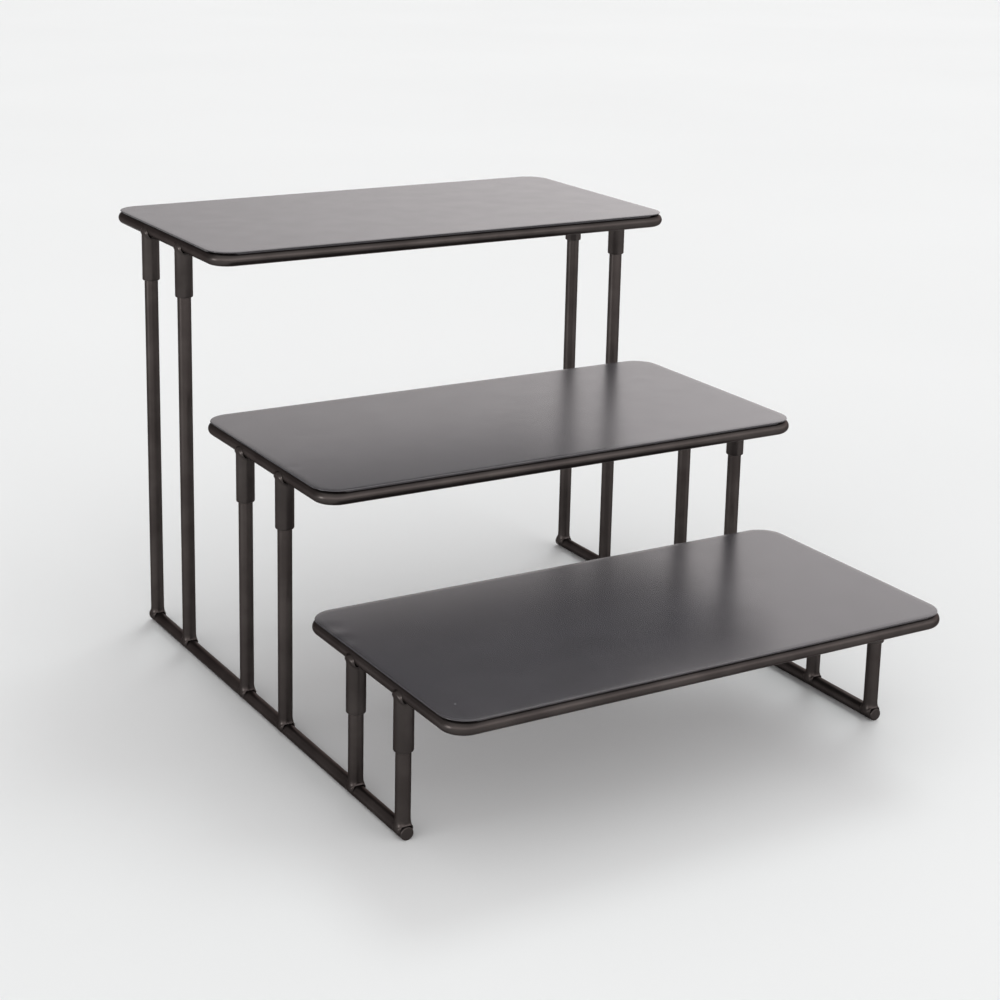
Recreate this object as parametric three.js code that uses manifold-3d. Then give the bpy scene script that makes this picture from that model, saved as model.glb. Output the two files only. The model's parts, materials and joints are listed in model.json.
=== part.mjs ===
// Three-tier shelf riser: two side frames of welded steel tube and rod, and three shelves that
// drop onto them. Each shelf is a sheet-steel plate on a closed ring of bent rod, with four
// sleeves welded under the ring; the sleeves slip over the tops of the side frames' legs.
//
// Millimetres, +Z up, +X to the right along the shelves, +Y from the front (lowest) tier to
// the back (highest) tier. The origin is on the floor, under the centre of the middle tier.

import * as THREE from "three";
import { mergeVertices } from "three/addons/utils/BufferGeometryUtils.js";
import Module from "manifold-3d";

const wasm = await Module();
wasm.setup();

// ---- Driving dimensions ----------------------------------------------------------------

const TIERS = ["bottom", "middle", "top"];
const RIM_HEIGHTS = [96, 187, 311]; // floor to the rim rod's axis, one for each tier
const TIER_PITCH = 170; // from one tier's centre line to the next, along Y
const FRAME_HALF_WIDTH = 188; // centre plane of the object to the side frames' plane
const LEG_SPACING = 64; // between the two legs of one tier, along Y
const GAP = 0.3; // clearance left between pieces that touch

const ROD_RADIUS = 4.5; // base rails and shelf rims
const RAIL_OVERHANG = 6.5; // rail end beyond the last leg's axis

const LEG_RADIUS = 5;
const LEG_BORE = 3.8;
const LEG_CHAMFER = 0.3;
const SLEEVE_RADIUS = 6.5;
const SLEEVE_BORE = LEG_RADIUS + GAP;
const SLEEVE_DROP = 38; // rim axis to the sleeve's lower end
const SLEEVE_CHAMFER = 0.8;

const LOBE_REACH = 2.8; // how far a saddle's side lobes wrap past the rod's axis
const LOBE_HALF_SPAN = 6.2; // rod axis to the outer face of a lobe
const LOBE_SHOULDER = 2; // height above the rod at which a lobe starts to narrow
const LOBE_TIP_SHARE = 0.7; // a lobe's tip radius as a share of its width
const SADDLE_BLEND = 9; // length over which a tube is spread or squeezed into its saddle
const BORE_STOP = 3.1; // rod axis to the blind end of a tube's bore, which opens onto the rod

const RIM_HALF_DEPTH = 95; // rim axis, from the tier's centre line to the long sides
const RIM_CORNER = 12; // bend radius of the rim's axis
const PLATE_OVERHANG = 3.7; // plate edge beyond the rim's axis
const PLATE_CORNER = 18;
const SHEET = 1.2;
const LIP_DEPTH = 0.7; // the turned-down edge, below the sheet's underside

const TUBE_SIDES = 16;
const RIM_SIDES = 12;
const RIM_CORNER_STEPS = 6;
const PLATE_CORNER_STEPS = 6;
const LOBE_TIP_STEPS = 5;
const CUTTER_LENGTH = 40; // longer than any tube is wide
const TRIM = 1; // extra size that a later cut takes away
const MERGE_TOLERANCE = 1e-4;

const STEEL = { color: 0x2a2725, roughness: 0.42, metalness: 0.25 };
const SHEET_STEEL = { color: 0x343130, roughness: 0.36, metalness: 0.25 };

// ---- Solids ------------------------------------------------------------------------------

function toSolid(geometry) {
  const bare = geometry.clone();
  bare.deleteAttribute("normal");
  bare.deleteAttribute("uv");
  const merged = mergeVertices(bare, MERGE_TOLERANCE);
  return new wasm.Manifold(
    new wasm.Mesh({
      numProp: 3,
      vertProperties: new Float32Array(merged.attributes.position.array),
      triVerts: new Uint32Array(merged.index.array),
    }),
  );
}

function toGeometry(solid) {
  const { vertProperties, triVerts } = solid.getMesh();
  const geometry = new THREE.BufferGeometry();
  geometry.setAttribute("position", new THREE.BufferAttribute(vertProperties, 3));
  geometry.setIndex(new THREE.BufferAttribute(triVerts, 1));
  geometry.computeVertexNormals();
  return geometry;
}

// A many-sided rod along Y whose flat sides touch the round rod, one flat facing down.
function rodAlongY(radius, length) {
  const halfStep = Math.PI / TUBE_SIDES;
  const corner = radius / Math.cos(halfStep);
  return new THREE.CylinderGeometry(corner, corner, length, TUBE_SIDES).rotateY(halfStep);
}

// A body of revolution about Z from [radius, height] points that start and end on the axis.
function turned(points) {
  const profile = points.map(([radius, height]) => new THREE.Vector2(radius, height));
  return new THREE.LatheGeometry(profile, TUBE_SIDES).rotateX(Math.PI / 2);
}

function extruded(outline, depth, curveSegments) {
  return new THREE.ExtrudeGeometry(outline, { depth, curveSegments, bevelEnabled: false });
}

// Stretches a tube across X near the rod that it stands on, until its outer faces reach the
// lobes' span.
function spreadSaddle(geometry, tubeRadius) {
  const position = geometry.attributes.position;
  const fullStretch = LOBE_HALF_SPAN / tubeRadius - 1;
  for (let i = 0; i < position.count; i += 1) {
    const aboveRod = position.getZ(i) - ROD_RADIUS;
    const stretch = fullStretch * (1 - THREE.MathUtils.smoothstep(aboveRod, 0, SADDLE_BLEND));
    position.setX(i, position.getX(i) * (1 + stretch));
  }
}

// A thumbnail-shaped prism across X that rounds off the two lobes of a saddle, in the frame
// of a tube standing on a rod whose axis is the origin.
function thumbnailPrism(halfWidth, height) {
  const outline = new THREE.Shape();
  const tipRadius = halfWidth * LOBE_TIP_SHARE;
  const tipCentre = tipRadius - LOBE_REACH;
  const shoulder = ROD_RADIUS + LOBE_SHOULDER;
  outline.moveTo(halfWidth, height);
  outline.lineTo(halfWidth, shoulder);
  outline.lineTo(tipRadius, tipCentre);
  outline.absarc(0, tipCentre, tipRadius, 0, -Math.PI, true);
  outline.lineTo(-halfWidth, shoulder);
  outline.lineTo(-halfWidth, height);
  return extruded(outline, CUTTER_LENGTH, LOBE_TIP_STEPS)
    .translate(0, 0, -CUTTER_LENGTH / 2)
    .rotateX(Math.PI / 2)
    .rotateZ(Math.PI / 2);
}

// A tube standing on a rod that runs along Y through the origin: the tube's end is spread
// into two lobes that straddle the rod.
function saddledTube({ radius, bore, length, chamfer }) {
  const blend = [0, 0.5, 1].map((step) => ROD_RADIUS + step * SADDLE_BLEND);
  const foot = -LOBE_REACH - TRIM;
  const tube = turned([
    [0, foot],
    [radius, foot],
    ...blend.map((height) => [radius, height]),
    [radius, length - chamfer],
    [radius - chamfer, length],
    [bore, length],
    [bore, BORE_STOP],
    [0, BORE_STOP],
  ]);
  spreadSaddle(tube, radius);
  return toSolid(tube)
    .intersect(toSolid(thumbnailPrism(radius + TRIM, length + TRIM)))
    .subtract(toSolid(rodAlongY(ROD_RADIUS + GAP, CUTTER_LENGTH)));
}

// ---- Side frames ---------------------------------------------------------------------------

function railGeometry() {
  const length = 2 * TIER_PITCH + LEG_SPACING + 2 * RAIL_OVERHANG;
  return rodAlongY(ROD_RADIUS, length);
}

// A leg stands on its rail at the origin and reaches up to just below the rim rod.
function legGeometry(rimHeight) {
  const rise = rimHeight - ROD_RADIUS;
  const length = rise - ROD_RADIUS - GAP;
  return toGeometry(saddledTube({ radius: LEG_RADIUS, bore: LEG_BORE, length, chamfer: LEG_CHAMFER }));
}

// ---- Shelves -------------------------------------------------------------------------------

// The same saddle as a leg's, upside down: the lobes clasp the rim rod from below.
function sleeveGeometry() {
  const sleeve = saddledTube({
    radius: SLEEVE_RADIUS,
    bore: SLEEVE_BORE,
    length: SLEEVE_DROP,
    chamfer: SLEEVE_CHAMFER,
  });
  return toGeometry(sleeve).rotateX(Math.PI);
}

// A closed rod ring: a small torus whose four quarters are moved apart, so that the faces
// between the quarters become the straight sides.
function rimGeometry() {
  const steps = 4 * RIM_CORNER_STEPS;
  const ring = new THREE.TorusGeometry(RIM_CORNER, ROD_RADIUS, RIM_SIDES, steps);
  ring.rotateZ(Math.PI / steps);
  const position = ring.attributes.position;
  const shiftX = FRAME_HALF_WIDTH - RIM_CORNER;
  const shiftY = RIM_HALF_DEPTH - RIM_CORNER;
  for (let i = 0; i < position.count; i += 1) {
    position.setX(i, position.getX(i) + Math.sign(position.getX(i)) * shiftX);
    position.setY(i, position.getY(i) + Math.sign(position.getY(i)) * shiftY);
  }
  return toGeometry(toSolid(ring));
}

function roundedRectangle(halfX, halfY, corner) {
  const outline = new THREE.Shape();
  outline.moveTo(halfX, corner - halfY);
  outline.absarc(halfX - corner, halfY - corner, corner, 0, Math.PI / 2);
  outline.absarc(corner - halfX, halfY - corner, corner, Math.PI / 2, Math.PI);
  outline.absarc(corner - halfX, corner - halfY, corner, Math.PI, 1.5 * Math.PI);
  outline.absarc(halfX - corner, corner - halfY, corner, 1.5 * Math.PI, 2 * Math.PI);
  return outline;
}

// The sheet lies just above the rim rod, whose axis is the origin's height. Its four straight
// edges are turned down; the rounded corners between them are relieved.
function plateGeometry() {
  const halfX = FRAME_HALF_WIDTH + PLATE_OVERHANG;
  const halfY = RIM_HALF_DEPTH + PLATE_OVERHANG;
  const underside = ROD_RADIUS + GAP;
  const outline = roundedRectangle(halfX, halfY, PLATE_CORNER);
  let plate = toSolid(extruded(outline, SHEET, PLATE_CORNER_STEPS).translate(0, 0, underside));
  const lipHeight = LIP_DEPTH + SHEET;
  const lipCentre = underside - LIP_DEPTH + lipHeight / 2;
  for (const side of [-1, 1]) {
    const longLip = new THREE.BoxGeometry(2 * (halfX - PLATE_CORNER), SHEET, lipHeight);
    longLip.translate(0, side * (halfY - SHEET / 2), lipCentre);
    const shortLip = new THREE.BoxGeometry(SHEET, 2 * (halfY - PLATE_CORNER), lipHeight);
    shortLip.translate(side * (halfX - SHEET / 2), 0, lipCentre);
    plate = plate.add(toSolid(longLip)).add(toSolid(shortLip));
  }
  return toGeometry(plate);
}

// ---- Assembly ------------------------------------------------------------------------------

function piece(name, geometry, finish) {
  const mesh = new THREE.Mesh(geometry, new THREE.MeshStandardMaterial(finish));
  mesh.name = name;
  return mesh;
}

function sideFrame(side, sign) {
  const frame = new THREE.Group();
  frame.position.set(sign * FRAME_HALF_WIDTH, 0, ROD_RADIUS);
  frame.add(piece(`${side}_rail`, railGeometry(), STEEL));
  TIERS.forEach((tier, index) => {
    for (const [place, offset] of [["front", -1], ["rear", 1]]) {
      const leg = piece(`${side}_leg_${tier}_${place}`, legGeometry(RIM_HEIGHTS[index]), STEEL);
      leg.position.y = (index - 1) * TIER_PITCH + (offset * LEG_SPACING) / 2;
      frame.add(leg);
    }
  });
  return frame;
}

function shelf(tier, index) {
  const group = new THREE.Group();
  group.position.set(0, (index - 1) * TIER_PITCH, RIM_HEIGHTS[index]);
  group.add(piece(`${tier}_plate`, plateGeometry(), SHEET_STEEL));
  group.add(piece(`${tier}_rim`, rimGeometry(), STEEL));
  for (const [side, sign] of [["left", -1], ["right", 1]]) {
    for (const [place, offset] of [["front", -1], ["rear", 1]]) {
      const sleeve = piece(`${tier}_sleeve_${side}_${place}`, sleeveGeometry(), STEEL);
      sleeve.position.set(sign * FRAME_HALF_WIDTH, (offset * LEG_SPACING) / 2, 0);
      group.add(sleeve);
    }
  }
  return group;
}

const riser = new THREE.Group();
riser.add(sideFrame("left", -1), sideFrame("right", 1));
TIERS.forEach((tier, index) => riser.add(shelf(tier, index)));

export default riser;
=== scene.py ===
"""Looks of the tiered shelf riser: refined meshes over its CAD frame, finishes, floor, lights and camera.

Everything is in metres in the CAD frame: +Z up, the floor at z = 0, the tiers step down towards -Y.
"""

import json
import math

import bmesh
import bpy
from mathutils import Matrix, Vector, noise


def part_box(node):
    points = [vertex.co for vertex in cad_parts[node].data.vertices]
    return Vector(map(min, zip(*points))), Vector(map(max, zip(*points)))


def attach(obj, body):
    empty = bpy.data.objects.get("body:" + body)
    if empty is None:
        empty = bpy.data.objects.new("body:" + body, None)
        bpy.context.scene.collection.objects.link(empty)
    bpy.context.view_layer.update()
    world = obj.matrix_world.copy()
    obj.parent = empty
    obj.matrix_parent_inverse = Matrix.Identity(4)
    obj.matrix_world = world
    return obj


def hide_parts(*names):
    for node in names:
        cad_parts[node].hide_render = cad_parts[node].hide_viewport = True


MM = 0.001
TIERS = ("bottom", "middle", "top")
SIDES = ("left", "right")
ENDS = ("front", "rear")
MERGE_DISTANCE = 1e-7
SHARP_ANGLE = math.radians(40)

# Rods, tubes and their ends, beyond what the CAD boxes already say. A bore's floor is given as its distance
# from the axis of the rod that the tube is welded to.
ROD_SEGMENTS = 40
RAIL_END_ROUND = 0.7 * MM
RAIL_END_STEPS = 5
RIM_CORNER = 12.0 * MM
RIM_CORNER_STEPS = 18
RIM_STRAIGHT_STEPS = 16
TUBE_COLUMNS = 64
TUBE_END_STEPS = 4
BORE_CHAMFER = 0.25 * MM
LEG_BORE = 3.8 * MM
LEG_BORE_FLOOR = 7.0 * MM
LEG_END_ROUND = 0.4 * MM
LEG_TOP_CUT = 1.6 * MM
SLEEVE_BORE = 5.3 * MM
SLEEVE_BORE_FLOOR = 6.1 * MM
SLEEVE_END_ROUND = 0.9 * MM

# How a tube's end closes round the rod it is welded to: two lobes, with an arch in front and one behind.
# A lobe's wrap is how far it reaches round the rod. Its bluntness is an exponent: a smaller one is squarer.
# An arch's lift fades out over a span, which is a share of the tube's half width. A blend is the height over
# which the pressed end becomes a plain tube, on a curve that its pull and lean shape.
CONTACT_GAP = 0.02 * MM
LOBE_STEPS = 9
LOBE_WRAP = math.radians(122)
LOBE_BLUNTNESS = 0.42
LOBE_EDGE = 0.12 * MM
LOBE_LEAVES_ROD = 0.35
LEG_LOBE_BLEND = 5.0 * MM
SLEEVE_LOBE_BLEND = 2.0 * MM
ARCH_WALL = 1.3 * MM
ARCH_WELD = 0.3 * MM
ARCH_BLEND = 1.6 * MM
ARCH_LIFT = 1.3 * MM
ARCH_SPAN = 0.45
BLEND_STEPS = 8
BLEND_PULL = 0.4
BLEND_LEAN = 4.0
SOLE_SHARES = (0.3, 0.6, 0.85, 1.0)

# Sheet of the plates and its edge: rounded above, bevelled below, with a short lip set back under it.
SHEET = 1.2 * MM
PLATE_CORNER = 18.0 * MM
PLATE_CORNER_STEPS = 14
PLATE_CELL = 2.0 * MM
CORNER_RINGS = (0.15, 0.3, 0.45, 0.6, 0.75)
UNDERSIDE_RINGS = (0.6, 0.3)
EDGE_ROUND = 0.5 * MM
EDGE_STEPS = 5
EDGE_BEVEL = ((0.1 * MM, 0.65 * MM), (0.35 * MM, 0.8 * MM))
LIP_INSET = 1.3 * MM
LIP_ROUND = 0.2 * MM
LIP_FADE = 2.5

# Slow waves left in each sheet from forming.
WAVE_HEIGHT = 0.10 * MM
WAVES_ACROSS = 6
WAVES_DEEP = 9
WAVE_SEED_STEP = 7.3

# Dents and puckers in each sheet: place from the plate's centre, radius and height, in millimetres.
DENTS = {
    "bottom": (
        (-187, 70, 13, -0.14),
        (-188, 46, 11, -0.12),
        (-187, 58, 8, 0.08),
        (-181, -75, 7, -0.10),
        (60, -40, 30, -0.06),
    ),
    "middle": ((156, 49, 9, 0.05), (-148, 24, 6, -0.03), (-185, -38, 8, -0.06)),
    "top": ((-150, -60, 25, -0.04),),
}

# Marks in the bottom plate's coating, from the plate's centre: a shallow curved scratch and a raised speck.
SCRATCH_MIDDLE = Vector((-31.3, -53.7, 0)) * MM
SCRATCH_CENTRE = Vector((-110.1, 17.3, 0)) * MM
SCRATCH_REACH = 24 * MM
SCRATCH_WIDTH = 1.1 * MM
SCRATCH_HEIGHT = 0.10 * MM
SPECK_PLACE = Vector((-175.8, -73.0, 0)) * MM
SPECK_RADIUS = 0.8 * MM
SPECK_HEIGHT = 0.25 * MM

# Worn edges, partly rubbed wear and partly a painted highlight: a turn of the surface at which the lighter
# edge colour starts, and the further turn over which it grows.
WEAR_HIGHLIGHT_FROM = math.radians(11)
WEAR_HIGHLIGHT_SPAN = math.radians(14)
WORN_HIGHLIGHT_COLOUR = (0.07, 0.062, 0.06)
WORN_HIGHLIGHT_SHARES = (0.1, 0.6)

# Unevenness of the coatings: noise scale in waves per metre, its detail, and the values it acts between.
TONE_NOISE = (38.0, 3.0, 0.35, 0.65)
WEAR_HIGHLIGHT_NOISE = (140.0, 3.0, 0.4, 0.7)
GLOSS_NOISE = (55.0, 4.0, 0.3, 0.7)

# Orange peel of the coating: the finer grit on it is so many times finer and so much shallower.
PEEL_DETAIL = 1.5
GRIT_DETAIL = 2.0
GRIT_FINENESS = 5
GRIT_SHARE = 0.12
COATING_IOR = 1.5

# The coats' colours, gloss and orange peel. Tubes and rods share one textured coat, in two close tones.
TEXTURED_COAT = dict(metallic=0.9, gloss_tint=(0.40, 0.38, 0.38), peel_scale=900.0, peel_depth=0.02 * MM)
FRAME_COAT = dict(
    TEXTURED_COAT, dark=(0.044, 0.037, 0.035), light=(0.062, 0.053, 0.050), roughness=(0.31, 0.37)
)
RIM_COAT = dict(
    TEXTURED_COAT, dark=(0.048, 0.041, 0.039), light=(0.066, 0.057, 0.054), roughness=(0.29, 0.35)
)
PLATE_COAT = dict(
    dark=(0.036, 0.035, 0.040), light=(0.040, 0.039, 0.045), roughness=(0.25, 0.27),
    metallic=0.0, gloss_tint=(1.0, 0.95, 0.96), peel_scale=700.0, peel_depth=0.003 * MM,
)

# The camera stands to the left of the riser, in front of it and above it, looking slightly down.
CAMERA_PLACE = Vector((-0.7450, -1.2270, 0.6060))
CAMERA_YAW = math.radians(31.15)
CAMERA_PITCH = math.radians(14.16)
CAMERA_ROLL = math.radians(1.31)
CAMERA_LENS = 74.30
CAMERA_SENSOR = 36.0
CAMERA_SHIFT = -0.15

# The studio's brightness by height above the horizon, as (sine of the elevation, radiance).
BRIGHT_WALLS = ((0.0, 1.2), (0.12, 1.85), (0.35, 1.85), (0.55, 0.7), (1.0, 0.3))
DARK_WALL = ((0.0, 0.5), (0.2, 0.35), (0.5, 0.4), (1.0, 0.4))
DARK_WALL_PLACE = (-0.5, 0.866, 0.0)
DARK_WALL_EDGE = 0.3
DARK_WALL_CORE = 0.85
STUDIO_TINT = (1.0, 0.955, 0.955)

# Soft lights: strength, spread across in degrees, direction in which each shines.
SOFTBOXES = {
    "key": (1.02, 110, (0.05, 0.62, -1.0)),
    "overhead": (0.55, 22, (-0.49, -0.41, -0.77)),
    "strip": (0.7, 16, (1.0, -0.02, -0.09)),
}
SOFTBOX_TINT = (0.96, 1.0, 1.0)

# The floor is matt pale paper, a little uneven in tone.
FLOOR_HALF_SIZE = 40.0
FLOOR_CELLS = 4
FLOOR_TONES = ((0.79, 0.805, 0.805), (0.83, 0.845, 0.845))
FLOOR_NOISE_SCALE = 1.3
FLOOR_NOISE_DETAIL = 2.0
FLOOR_ROUGHNESS = 0.85
FLOOR_GLOSS = 0.2

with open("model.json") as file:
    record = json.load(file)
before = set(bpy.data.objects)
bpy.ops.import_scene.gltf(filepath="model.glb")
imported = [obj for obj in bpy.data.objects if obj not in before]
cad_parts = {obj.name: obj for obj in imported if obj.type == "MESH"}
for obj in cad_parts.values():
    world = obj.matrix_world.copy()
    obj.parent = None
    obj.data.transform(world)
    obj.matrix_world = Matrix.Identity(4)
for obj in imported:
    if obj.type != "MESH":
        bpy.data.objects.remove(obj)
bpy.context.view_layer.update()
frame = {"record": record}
body_of_node = {
    node: body for body, nodes in frame["record"]["behaviour"]["bodies"].items() for node in nodes
}


# ---------------------------------------------------------------- mesh helpers


def mix(a, b, t):
    return a + (b - a) * t


def ease(t):
    return t * t * (3 - 2 * t)


def middle(lo, hi):
    return (lo + hi) / 2


def around(count, offset=0.0):
    """Angles of `count` points evenly round a circle."""
    return [2 * math.pi * (i + offset) / count for i in range(count)]


def quarter_turn(steps):
    return [math.pi / 2 * k / steps for k in range(steps + 1)]


def add_grid(bm, rows, closed_rows=False):
    """Faces between neighbouring rows of equal length; each row is a closed ring of vertices."""
    made = [[bm.verts.new(point) for point in row] for row in rows]
    count = len(rows[0])
    pairs = list(zip(made, made[1:]))
    if closed_rows:
        pairs.append((made[-1], made[0]))
    for low, high in pairs:
        for i in range(count):
            j = (i + 1) % count
            bm.faces.new((low[i], low[j], high[j], high[i]))
    return made


def add_field(bm, rows):
    """Faces over an open field of points, given as rows of equal length."""
    made = [[bm.verts.new(point) for point in row] for row in rows]
    for low, high in zip(made, made[1:]):
        for i in range(len(low) - 1):
            bm.faces.new((low[i], low[i + 1], high[i + 1], high[i]))


def add_pole(bm, ring, point):
    """Closes a ring of vertices with a fan to one point."""
    tip = bm.verts.new(point)
    for i, vert in enumerate(ring):
        bm.faces.new((vert, ring[(i + 1) % len(ring)], tip))


def mark_worn_highlit_edges(bm):
    """Stores at each vertex how sharply the surface turns outwards there: the mask for lighter edges, partly
    rubbed wear and partly a painted highlight.
    """
    wear_highlight = bm.verts.layers.float.new("edge_wear_highlight")
    for vert in bm.verts:
        turn = max(edge.calc_face_angle_signed(0) for edge in vert.link_edges)
        vert[wear_highlight] = min(1, max(0, (turn - WEAR_HIGHLIGHT_FROM) / WEAR_HIGHLIGHT_SPAN))


def finish_mesh(bm, name):
    """Turns the bmesh into a smooth-shaded object with outward normals."""
    bmesh.ops.remove_doubles(bm, verts=bm.verts, dist=MERGE_DISTANCE)
    bmesh.ops.dissolve_degenerate(bm, dist=MERGE_DISTANCE, edges=bm.edges)
    bmesh.ops.recalc_face_normals(bm, faces=bm.faces)
    mark_worn_highlit_edges(bm)
    mesh = bpy.data.meshes.new(name)
    bm.to_mesh(mesh)
    bm.free()
    mesh.shade_smooth()
    mesh.set_sharp_from_angle(angle=SHARP_ANGLE)
    piece = bpy.data.objects.new(name, mesh)
    bpy.context.scene.collection.objects.link(piece)
    return piece


def place(piece, node, slot, material):
    """The piece stands for its CAD node: same body, finish from the material given; the slot is not used."""
    piece.data.materials.append(material)
    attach(piece, body_of_node[node])
    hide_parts(node)


# ---------------------------------------------------------------- rails


def rail_profile(half_length, radius):
    """(distance along the rail, radius) from one end's rim to the other's, with softly rounded ends."""
    front = [
        (-half_length + RAIL_END_ROUND * (1 - math.sin(a)), radius - RAIL_END_ROUND * (1 - math.cos(a)))
        for a in reversed(quarter_turn(RAIL_END_STEPS))
    ]
    rear = [(-y, r) for y, r in reversed(front)]
    return front + rear


def rail(side):
    """A straight rod along Y with flat, closed, slightly rounded ends."""
    node = f"{side}_rail"
    lo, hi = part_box(node)
    centre = middle(lo, hi)
    radius = (hi.z - lo.z) / 2
    half_length = (hi.y - lo.y) / 2
    rows = [
        [centre + Vector((r * math.cos(a), y, r * math.sin(a))) for a in around(ROD_SEGMENTS)]
        for y, r in rail_profile(half_length, radius)
    ]
    bm = bmesh.new()
    made = add_grid(bm, rows)
    add_pole(bm, made[0], centre - Vector((0, half_length, 0)))
    add_pole(bm, made[-1], centre + Vector((0, half_length, 0)))
    return finish_mesh(bm, f"rail_{side}"), node


# ---------------------------------------------------------------- legs and sleeves


def lobe_reach(turn):
    """How far round the rod a column of the saddle reaches, as an angle with the side's sign."""
    across = math.cos(turn)
    return LOBE_WRAP * math.copysign(abs(across) ** LOBE_BLUNTNESS, across)


def arch_lift(turn):
    """Height of the small gap left under the saddle's front and rear arches."""
    return ARCH_LIFT * max(0, 1 - abs(math.cos(turn)) / ARCH_SPAN) ** 2


def saddle_sole(turn, rod, tube, share):
    """A point under the saddled end, on the rod's skin, `share` of the way from its centre to its edge."""
    bend = lobe_reach(turn) * share
    out = rod + CONTACT_GAP + arch_lift(turn) * share
    y = math.sin(turn) * (tube + ARCH_WELD) * share
    return Vector((out * math.sin(bend), y, out * math.cos(bend)))


def lobe_outside(turn, rod, tube, wall, meets):
    """Points up the outside of the saddle, from its thin edge on the rod to where the tube rises."""
    reach = lobe_reach(turn)
    leaves = mix(meets, reach, LOBE_LEAVES_ROD)
    edge = LOBE_EDGE + arch_lift(turn)
    points = []
    for k in range(LOBE_STEPS):
        t = k / (LOBE_STEPS - 1)
        bend = mix(reach, leaves, t)
        out = rod + mix(edge, max(edge, wall), ease(t))
        y = math.sin(turn) * (tube + ARCH_WELD * (1 - t) ** 2)
        points.append(Vector((out * math.sin(bend), y, out * math.cos(bend))))
    return points, leaves


def smooth_climb(low, low_direction, high):
    """Points after `low` on a smooth curve that leaves it in a direction and reaches `high` upright."""
    pull = (high - low).length * BLEND_PULL
    low_handle = low + pull * low_direction.normalized()
    high_handle = high - Vector((0, 0, pull))
    points = []
    for k in range(1, BLEND_STEPS + 1):
        t = k / BLEND_STEPS
        leaving = low * (1 - t) ** 3 + low_handle * 3 * t * (1 - t) ** 2
        points.append(leaving + high_handle * 3 * t * t * (1 - t) + high * t**3)
    return points


def saddle_column(turn, rod, tube, lobe_wall, lobe_blend):
    """Points of one column of a saddled tube end, from its edge on the rod up to where the tube is plain.

    The rod's axis is Y and the tube rises along Z. `turn` is the angle of the column around the tube.
    """
    across, along = math.cos(turn), math.sin(turn)
    lobe = abs(across)
    wall = mix(ARCH_WALL, lobe_wall, lobe)
    meets = math.copysign(math.asin(min(1, tube * lobe / (rod + wall))), across)
    points, leaves = lobe_outside(turn, rod, tube, wall, meets)
    top = (rod + wall) * math.cos(meets) + mix(ARCH_BLEND, lobe_blend, lobe)
    lean = -math.copysign(math.cos(leaves) * min(1, lobe * BLEND_LEAN), across)
    rising = Vector((lean, 0, math.sin(abs(leaves))))
    return points + smooth_climb(points[-1], rising, Vector((tube * across, tube * along, top)))


def saddled_tube(name, rod, tube, lobe_wall, lobe_blend, length, bore, bore_floor, end_round):
    """A tube along +Z whose foot is split and pressed round a rod on the Y axis, its far end open."""
    turns = around(TUBE_COLUMNS, 0.5)
    rows = [[saddle_sole(turn, rod, tube, share) for turn in turns] for share in SOLE_SHARES]
    columns = [saddle_column(turn, rod, tube, lobe_wall, lobe_blend) for turn in turns]
    rows += [list(row) for row in zip(*columns)]
    shell = [
        (tube - end_round * (1 - math.cos(a)), length - end_round * (1 - math.sin(a)))
        for a in quarter_turn(TUBE_END_STEPS)
    ]
    shell += [(bore + BORE_CHAMFER, length), (bore, length - BORE_CHAMFER), (bore, bore_floor)]
    for radius, z in shell:
        rows.append([Vector((radius * math.cos(turn), radius * math.sin(turn), z)) for turn in turns])
    bm = bmesh.new()
    made = add_grid(bm, rows)
    add_pole(bm, made[0], (0, 0, rod + CONTACT_GAP))
    add_pole(bm, made[-1], (0, 0, bore_floor))
    return finish_mesh(bm, name)


def leg(side, tier, end):
    """Its top is cut a little under the CAD's, to stay clear of the arches inside the sleeve."""
    node = f"{side}_leg_{tier}_{end}"
    lo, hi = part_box(node)
    rail_lo, rail_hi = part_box(f"{side}_rail")
    axis = middle(rail_lo, rail_hi)
    rod = (rail_hi.z - rail_lo.z) / 2
    tube = (hi.y - lo.y) / 2
    lobe_wall = (hi.x - lo.x) / 2 - rod
    piece = saddled_tube(
        f"leg_{tier}_{side}_{end}", rod, tube, lobe_wall, LEG_LOBE_BLEND,
        hi.z - axis.z - LEG_TOP_CUT, LEG_BORE, LEG_BORE_FLOOR, LEG_END_ROUND,
    )
    piece.data.transform(Matrix.Translation((axis.x, middle(lo, hi).y, axis.z)))
    return piece, node


def sleeve(side, tier, end):
    node = f"{tier}_sleeve_{side}_{end}"
    lo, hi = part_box(node)
    rim_lo, rim_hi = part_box(f"{tier}_rim")
    rod = (rim_hi.z - rim_lo.z) / 2
    axis_z = middle(rim_lo, rim_hi).z
    tube = (hi.y - lo.y) / 2
    piece = saddled_tube(
        f"sleeve_{tier}_{side}_{end}", rod, tube, tube - rod, SLEEVE_LOBE_BLEND,
        axis_z - lo.z, SLEEVE_BORE, SLEEVE_BORE_FLOOR, SLEEVE_END_ROUND,
    )
    upside_down = Matrix.Rotation(math.pi, 4, "X")
    centre = middle(lo, hi)
    piece.data.transform(Matrix.Translation((centre.x, centre.y, axis_z)) @ upside_down)
    return piece, node


# ---------------------------------------------------------------- rims


def rounded_loop(half_x, half_y, corner):
    """(point, outward direction) round a rectangle with round corners, anticlockwise from the right."""
    signs = ((1, 1), (-1, 1), (-1, -1), (1, -1))
    centres = [Vector((x * (half_x - corner), y * (half_y - corner), 0)) for x, y in signs]
    loop = []
    for quarter, centre in enumerate(centres):
        for k in range(RIM_CORNER_STEPS + 1):
            angle = math.pi / 2 * (quarter + k / RIM_CORNER_STEPS)
            outward = Vector((math.cos(angle), math.sin(angle), 0))
            loop.append((centre + corner * outward, outward))
        start = loop[-1][0]
        goal = centres[(quarter + 1) % len(centres)] + corner * outward
        for k in range(1, RIM_STRAIGHT_STEPS):
            loop.append((start.lerp(goal, k / RIM_STRAIGHT_STEPS), outward))
    return loop


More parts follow.
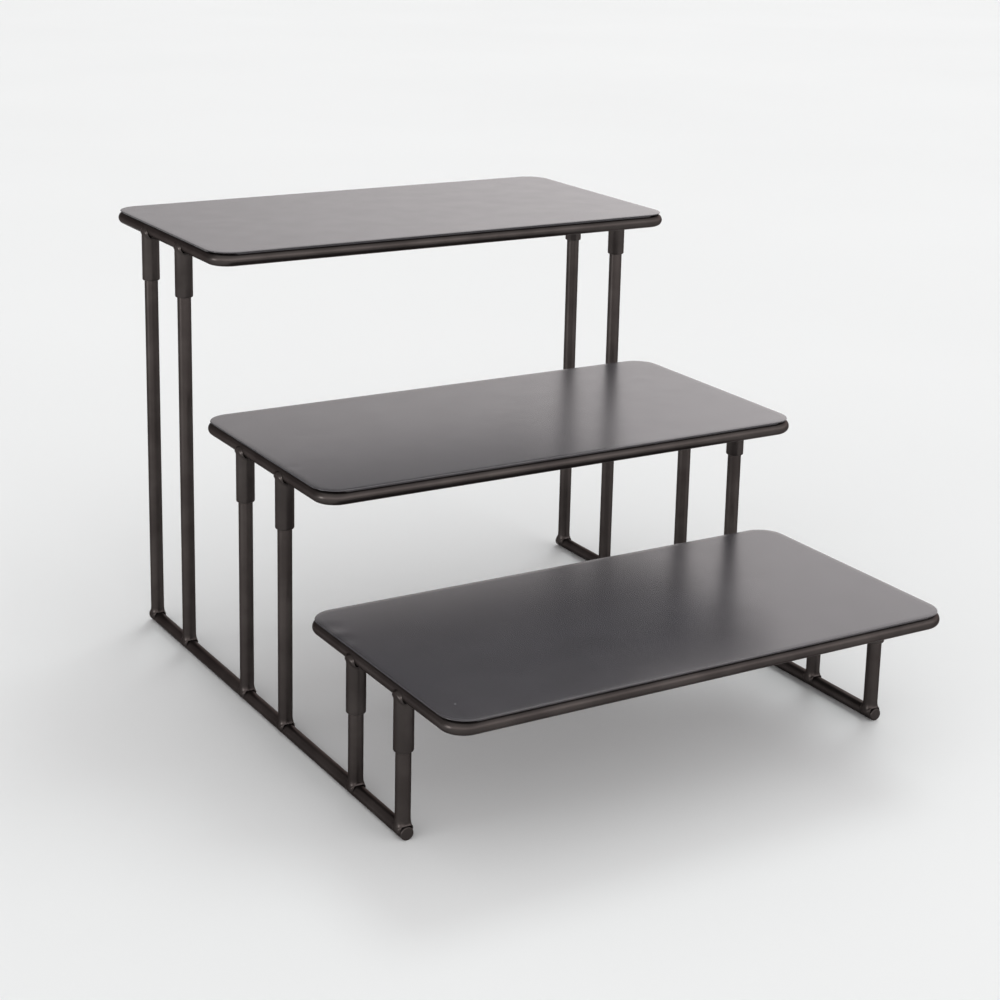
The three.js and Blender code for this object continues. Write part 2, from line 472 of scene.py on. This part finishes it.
def rim(tier):
    """The rod ring under a plate."""
    node = f"{tier}_rim"
    lo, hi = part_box(node)
    centre = middle(lo, hi)
    radius = (hi.z - lo.z) / 2
    half = (hi - lo) / 2
    half_x = middle(*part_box(f"{tier}_sleeve_right_front")).x
    half_y = half.y - (half.x - half_x)
    up = Vector((0, 0, 1))
    rows = [
        [centre + point + radius * (math.cos(a) * outward + math.sin(a) * up) for a in around(ROD_SEGMENTS)]
        for point, outward in rounded_loop(half_x, half_y, RIM_CORNER)
    ]
    bm = bmesh.new()
    add_grid(bm, rows, closed_rows=True)
    return finish_mesh(bm, f"rim_{tier}"), node


# ---------------------------------------------------------------- plates


def plate_relief(tier, x, y):
    """How far the sheet stands off flat at a point: slow waves from forming, and its few dents."""
    seed = TIERS.index(tier) * WAVE_SEED_STEP
    height = WAVE_HEIGHT * noise.noise(Vector((x * WAVES_ACROSS, y * WAVES_DEEP, seed)))
    for dent_x, dent_y, radius, depth in DENTS[tier]:
        away = math.hypot(x - dent_x * MM, y - dent_y * MM) / (radius * MM)
        if away < 1:
            height += depth * MM * ease(1 - away)
    return height


def steps_between(start, end, cell):
    count = max(2, round((end - start) / cell))
    return [mix(start, end, k / count) for k in range(count + 1)]


def plate_columns(xs, ys):
    """Columns round the plate's inner rectangle, anticlockwise: base point, outward angle, corner share.

    The corner share says how far the column is round a corner, from 0 on the straights to 1 at its middle.
    """
    right = [(xs[-1], y) for y in ys]
    back = [(x, ys[-1]) for x in reversed(xs)]
    left = [(xs[0], y) for y in reversed(ys)]
    front = [(x, ys[0]) for x in xs]
    columns = []
    for quarter, run in enumerate((right, back, left, front)):
        start = math.pi / 2 * quarter
        columns += [(base, start, 0.0) for base in run]
        for k in range(1, PLATE_CORNER_STEPS):
            share = k / PLATE_CORNER_STEPS
            columns.append((run[-1], start + math.pi / 2 * share, math.sin(math.pi * share)))
    return columns


def plate_profile(corner_share, lip):
    """(outward reach, height) pairs from the plate's top round its edge to its underside, top at height 0.

    The lip under the edge fades out in the corners.
    """
    foot = -SHEET - mix(lip, 0, ease(min(1, corner_share * LIP_FADE)))
    lip_out = PLATE_CORNER - LIP_INSET
    lip_in = lip_out - SHEET
    under = lip_in - SHEET
    points = [(share * PLATE_CORNER, 0.0) for share in CORNER_RINGS]
    points += [
        (PLATE_CORNER - EDGE_ROUND * (1 - math.sin(a)), -EDGE_ROUND * (1 - math.cos(a)))
        for a in quarter_turn(EDGE_STEPS)
    ]
    points += [(PLATE_CORNER - inset, -drop) for inset, drop in EDGE_BEVEL]
    points += [(lip_out, -SHEET), (lip_out, foot + LIP_ROUND), (lip_out - LIP_ROUND, foot), (lip_in, foot)]
    points.append((under, -SHEET))
    points += [(share * under, -SHEET) for share in UNDERSIDE_RINGS]
    return points


def plate(tier):
    """A thin sheet with a rounded edge and a short lip: flat fields inside, profile rings round them."""
    node = f"{tier}_plate"
    lo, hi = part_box(node)
    centre = middle(lo, hi)
    half = (hi - lo) / 2
    lip = (hi.z - lo.z) - SHEET
    xs = steps_between(PLATE_CORNER - half.x, half.x - PLATE_CORNER, PLATE_CELL)
    ys = steps_between(PLATE_CORNER - half.y, half.y - PLATE_CORNER, PLATE_CELL)
    columns = plate_columns(xs, ys)

    def lifted(x, y, height):
        return Vector((centre.x + x, centre.y + y, hi.z + height + plate_relief(tier, x, y)))

    profiles = [plate_profile(share, lip) for _, _, share in columns]
    rows = [[lifted(*base, 0.0) for base, _, _ in columns]]
    for ring in zip(*profiles):
        row = []
        for (base, angle, _), (reach, height) in zip(columns, ring):
            row.append(lifted(base[0] + reach * math.cos(angle), base[1] + reach * math.sin(angle), height))
        rows.append(row)
    rows.append([lifted(*base, -SHEET) for base, _, _ in columns])
    bm = bmesh.new()
    add_grid(bm, rows)
    for height in (0.0, -SHEET):
        add_field(bm, [[lifted(x, y, height) for x in xs] for y in ys])
    return finish_mesh(bm, f"plate_{tier}"), node


# ---------------------------------------------------------------- finishes


def node_tree(name):
    material = bpy.data.materials.new(name)
    material.use_nodes = True
    tree = material.node_tree
    tree.nodes.clear()
    return material, tree


def new_node(tree, kind, **settings):
    """A node with its inputs or properties set by name."""
    made = tree.nodes.new(kind)
    for key, value in settings.items():
        if key in made.inputs:
            made.inputs[key].default_value = value
        else:
            setattr(made, key, value)
    return made


def noise_value(tree, coords, scale, detail):
    texture = new_node(tree, "ShaderNodeTexNoise", Scale=scale, Detail=detail)
    tree.links.new(coords, texture.inputs["Vector"])
    return texture.outputs["Fac"]


def remap(tree, value, low, high, out_low, out_high):
    made = new_node(tree, "ShaderNodeMapRange")
    limits = {"From Min": low, "From Max": high, "To Min": out_low, "To Max": out_high}
    for socket, limit in limits.items():
        made.inputs[socket].default_value = limit
    tree.links.new(value, made.inputs["Value"])
    return made.outputs["Result"]


def uneven(tree, coords, kind, out_low, out_high):
    """A value that wanders between two limits over the surface."""
    scale, detail, low, high = kind
    return remap(tree, noise_value(tree, coords, scale, detail), low, high, out_low, out_high)


def maths(tree, operation, first, second):
    """One arithmetic step between a socket and a socket or a number."""
    made = new_node(tree, "ShaderNodeMath", operation=operation)
    tree.links.new(first, made.inputs[0])
    if isinstance(second, (int, float)):
        made.inputs[1].default_value = second
    else:
        tree.links.new(second, made.inputs[1])
    return made.outputs["Value"]


def mixed_colour(tree, share, first, second):
    made = new_node(tree, "ShaderNodeMix", data_type="RGBA")
    tree.links.new(share, made.inputs["Factor"])
    for socket, value in ((made.inputs["A"], first), (made.inputs["B"], second)):
        if isinstance(value, tuple):
            socket.default_value = (*value, 1)
        else:
            tree.links.new(value, socket)
    return made.outputs["Result"]


def bumped(tree, height, distance, normal=None):
    made = new_node(tree, "ShaderNodeBump", Strength=1.0, Distance=distance)
    tree.links.new(height, made.inputs["Height"])
    if normal is not None:
        tree.links.new(normal, made.inputs["Normal"])
    return made.outputs["Normal"]


def finished(material, tree, shader):
    output = new_node(tree, "ShaderNodeOutputMaterial")
    tree.links.new(shader.outputs["BSDF"], output.inputs["Surface"])
    return material


def powder_coat(name, dark, light, roughness, metallic, gloss_tint, peel_scale, peel_depth):
    """Satin powder coat: two close tones, orange peel, fine grit, and edges a little lighter, partly rubbed
    wear and partly a painted highlight.

    Returns the material, its node tree, its shader node and its object coordinates.
    """
    material, tree = node_tree(name)
    coords = new_node(tree, "ShaderNodeTexCoord").outputs["Object"]
    body = mixed_colour(tree, uneven(tree, coords, TONE_NOISE, 0.0, 1.0), dark, light)
    # Lighter colour on outward edges: partly rubbed wear, partly a painted highlight.
    edge = new_node(tree, "ShaderNodeAttribute", attribute_name="edge_wear_highlight").outputs["Fac"]
    patches = uneven(tree, coords, WEAR_HIGHLIGHT_NOISE, *WORN_HIGHLIGHT_SHARES)
    worn_highlit = mixed_colour(tree, maths(tree, "MULTIPLY", edge, patches), body, WORN_HIGHLIGHT_COLOUR)
    gloss = uneven(tree, coords, GLOSS_NOISE, *roughness)
    peel = bumped(tree, noise_value(tree, coords, peel_scale, PEEL_DETAIL), peel_depth)
    grit_height = noise_value(tree, coords, peel_scale * GRIT_FINENESS, GRIT_DETAIL)
    grit = bumped(tree, grit_height, peel_depth * GRIT_SHARE, peel)
    shader = new_node(tree, "ShaderNodeBsdfPrincipled", IOR=COATING_IOR, Metallic=metallic)
    shader.inputs["Specular Tint"].default_value = (*gloss_tint, 1)
    tree.links.new(worn_highlit, shader.inputs["Base Color"])
    tree.links.new(gloss, shader.inputs["Roughness"])
    tree.links.new(grit, shader.inputs["Normal"])
    return finished(material, tree, shader), tree, shader, coords


def distance_from(tree, coords, point):
    away = new_node(tree, "ShaderNodeVectorMath", operation="DISTANCE")
    tree.links.new(coords, away.inputs[0])
    away.inputs[1].default_value = point
    return away.outputs["Value"]


def near(tree, distance, radius):
    """1 where a distance is nothing, falling to 0 at the radius."""
    return remap(tree, distance, 0.0, radius, 1.0, 0.0)


def scratch_height(tree, coords, centre):
    """A thin ridge along an arc in the plate whose centre is given."""
    arc_centre = centre + SCRATCH_CENTRE
    arc_middle = centre + SCRATCH_MIDDLE
    radius = (arc_middle - arc_centre).length
    off_arc = maths(tree, "SUBTRACT", distance_from(tree, coords, arc_centre), radius)
    ridge = near(tree, maths(tree, "ABSOLUTE", off_arc, 0.0), SCRATCH_WIDTH)
    reach = near(tree, distance_from(tree, coords, arc_middle), SCRATCH_REACH)
    return maths(tree, "MULTIPLY", ridge, reach)


def plate_coating():
    """The plates' smoother coat, with one scratch and one speck in the bottom plate."""
    material, tree, shader, coords = powder_coat("plate_coat", **PLATE_COAT)
    lo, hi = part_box("bottom_plate")
    centre = Vector((middle(lo, hi).x, middle(lo, hi).y, hi.z))
    below = shader.inputs["Normal"].links[0].from_socket
    scratched = bumped(tree, scratch_height(tree, coords, centre), SCRATCH_HEIGHT, below)
    speck = near(tree, distance_from(tree, coords, centre + SPECK_PLACE), SPECK_RADIUS)
    tree.links.new(bumped(tree, speck, SPECK_HEIGHT, scratched), shader.inputs["Normal"])
    return material


def floor_paper():
    """Matt pale paper."""
    material, tree = node_tree("floor_paper")
    coords = new_node(tree, "ShaderNodeTexCoord").outputs["Object"]
    tone = noise_value(tree, coords, FLOOR_NOISE_SCALE, FLOOR_NOISE_DETAIL)
    shade = mixed_colour(tree, tone, *FLOOR_TONES)
    shader = new_node(tree, "ShaderNodeBsdfPrincipled", Roughness=FLOOR_ROUGHNESS)
    shader.inputs["Specular IOR Level"].default_value = FLOOR_GLOSS
    tree.links.new(shade, shader.inputs["Base Color"])
    return finished(material, tree, shader)


# ---------------------------------------------------------------- stage


def camera():
    """Yaw turns from +Y towards +X, pitch looks down, roll leans the picture."""
    level_forward = Vector((math.sin(CAMERA_YAW), math.cos(CAMERA_YAW), 0))
    level_right = Vector((math.cos(CAMERA_YAW), -math.sin(CAMERA_YAW), 0))
    forward = math.cos(CAMERA_PITCH) * level_forward - Vector((0, 0, math.sin(CAMERA_PITCH)))
    right = Matrix.Rotation(-CAMERA_ROLL, 3, forward) @ level_right
    up = right.cross(forward)
    data = bpy.data.cameras.new("camera")
    data.lens = CAMERA_LENS
    data.sensor_width = CAMERA_SENSOR
    data.shift_y = CAMERA_SHIFT
    made = bpy.data.objects.new("camera", data)
    facing = Matrix((right, up, -forward)).transposed().to_4x4()
    made.matrix_world = Matrix.Translation(CAMERA_PLACE) @ facing
    bpy.context.scene.collection.objects.link(made)
    bpy.context.scene.camera = made


def floor():
    bm = bmesh.new()
    bmesh.ops.create_grid(bm, x_segments=FLOOR_CELLS, y_segments=FLOOR_CELLS, size=FLOOR_HALF_SIZE)
    mesh = bpy.data.meshes.new("floor")
    bm.to_mesh(mesh)
    bm.free()
    mesh.materials.append(floor_paper())
    made = bpy.data.objects.new("floor", mesh)
    bpy.context.scene.collection.objects.link(made)


def ramp(tree, value, stops):
    """A brightness that goes through (position, brightness) stops."""
    made = new_node(tree, "ShaderNodeValToRGB")
    elements = made.color_ramp.elements
    brightest = max(level for _, level in stops)
    while len(elements) < len(stops):
        elements.new(1.0)
    for element, (position, level) in zip(elements, stops):
        element.position = position
        element.color = (level / brightest, level / brightest, level / brightest, 1)
    tree.links.new(value, made.inputs["Fac"])
    return maths(tree, "MULTIPLY", made.outputs["Color"], brightest)


def studio():
    """A studio room with bright walls, but for a dark one behind the riser on its left."""
    world = bpy.data.worlds.new("studio")
    bpy.context.scene.world = world
    world.use_nodes = True
    tree = world.node_tree
    direction = new_node(tree, "ShaderNodeTexCoord").outputs["Generated"]
    height = new_node(tree, "ShaderNodeSeparateXYZ")
    tree.links.new(direction, height.inputs["Vector"])
    facing = new_node(tree, "ShaderNodeVectorMath", operation="DOT_PRODUCT")
    facing.inputs[1].default_value = DARK_WALL_PLACE
    tree.links.new(direction, facing.inputs[0])
    share = remap(tree, facing.outputs["Value"], DARK_WALL_EDGE, DARK_WALL_CORE, 0.0, 1.0)
    level = new_node(tree, "ShaderNodeMix", data_type="FLOAT")
    tree.links.new(share, level.inputs["Factor"])
    tree.links.new(ramp(tree, height.outputs["Z"], BRIGHT_WALLS), level.inputs["A"])
    tree.links.new(ramp(tree, height.outputs["Z"], DARK_WALL), level.inputs["B"])
    background = tree.nodes["Background"]
    background.inputs["Color"].default_value = (*STUDIO_TINT, 1)
    tree.links.new(level.outputs["Result"], background.inputs["Strength"])


def softbox(name):
    strength, spread, towards = SOFTBOXES[name]
    data = bpy.data.lights.new(name, "SUN")
    data.energy = strength
    data.angle = math.radians(spread)
    data.color = SOFTBOX_TINT
    made = bpy.data.objects.new(name, data)
    made.rotation_euler = Vector(towards).to_track_quat("-Z", "Y").to_euler()
    bpy.context.scene.collection.objects.link(made)


# ---------------------------------------------------------------- build

camera()
floor()
studio()
for name in SOFTBOXES:
    softbox(name)
bpy.context.scene.view_settings.view_transform = "Standard"

frame_coat = powder_coat("frame_coat", **FRAME_COAT)[0]
rim_coat = powder_coat("rim_coat", **RIM_COAT)[0]
plate_coat = plate_coating()

for side in SIDES:
    place(*rail(side), "side_frame_coating", frame_coat)
    for tier in TIERS:
        for end in ENDS:
            place(*leg(side, tier, end), "side_frame_coating", frame_coat)
            place(*sleeve(side, tier, end), "shelf_rim_coating", rim_coat)
for tier in TIERS:
    place(*rim(tier), "shelf_rim_coating", rim_coat)
    place(*plate(tier), "shelf_plate_coating", plate_coat)
